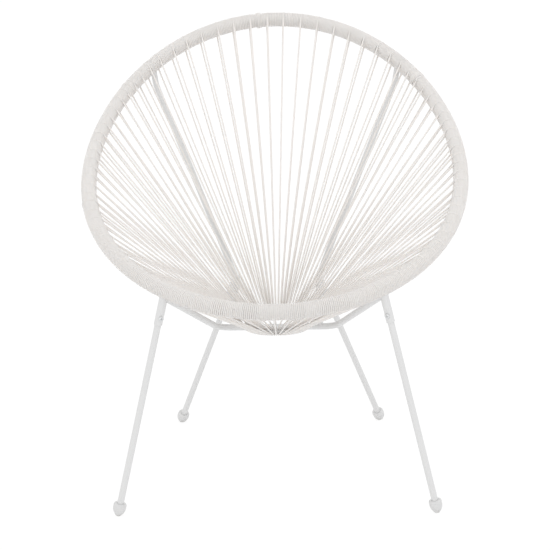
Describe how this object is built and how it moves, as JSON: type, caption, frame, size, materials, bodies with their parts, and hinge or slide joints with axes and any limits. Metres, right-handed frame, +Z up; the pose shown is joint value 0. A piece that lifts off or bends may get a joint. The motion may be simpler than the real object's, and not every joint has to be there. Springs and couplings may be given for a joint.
{
  "type": "acapulco chair",
  "caption": "Low cord lounge chair: tilted egg-shaped hoop wrapped in round cord, cord laced down to a small ring, bent tubes under the basket and splayed tube legs with bud-shaped feet.",
  "frame": {"origin": "on the floor under the middle of the chair's outline", "axes": "+Z up, the sitter faces -Y, +X is the sitter's left"},
  "size_m": [0.73, 0.7552, 0.8417],
  "materials": {
    "pvc_cord": "satin extruded PVC cord, warm white",
    "painted_steel": "satin pale grey powder coat",
    "cap_plastic": "moulded pale grey plastic",
    "plated_screw": "bright zinc plate"
  },
  "bodies": {
    "root": {"rim_hoop": "painted_steel", "seat_ring": "painted_steel", "cross_tube": "painted_steel", "back_strut_left": "painted_steel", "back_strut_right": "painted_steel", "front_leg_socket_left": "painted_steel", "front_leg_socket_right": "painted_steel", "front_leg_left": "painted_steel", "front_leg_right": "painted_steel", "rear_leg_socket_left": "painted_steel", "rear_leg_socket_right": "painted_steel", "rear_leg_left": "painted_steel", "rear_leg_right": "painted_steel", "front_leg_screw_left": "plated_screw", "front_leg_screw_right": "plated_screw", "rear_leg_screw_left": "plated_screw", "rear_leg_screw_right": "plated_screw", "front_foot_cap_left": "cap_plastic", "front_foot_cap_right": "cap_plastic", "rear_foot_cap_left": "cap_plastic", "rear_foot_cap_right": "cap_plastic", "cord_run_01": "pvc_cord", "cord_run_02": "pvc_cord", "cord_run_03": "pvc_cord", "cord_run_04": "pvc_cord", "cord_run_05": "pvc_cord", "cord_run_06": "pvc_cord", "cord_run_07": "pvc_cord", "cord_run_08": "pvc_cord", "cord_run_09": "pvc_cord", "cord_run_10": "pvc_cord", "cord_run_11": "pvc_cord", "cord_run_12": "pvc_cord", "cord_run_13": "pvc_cord", "cord_run_14": "pvc_cord", "cord_run_15": "pvc_cord", "cord_run_16": "pvc_cord", "cord_run_17": "pvc_cord"}
  },
  "joints": []
}
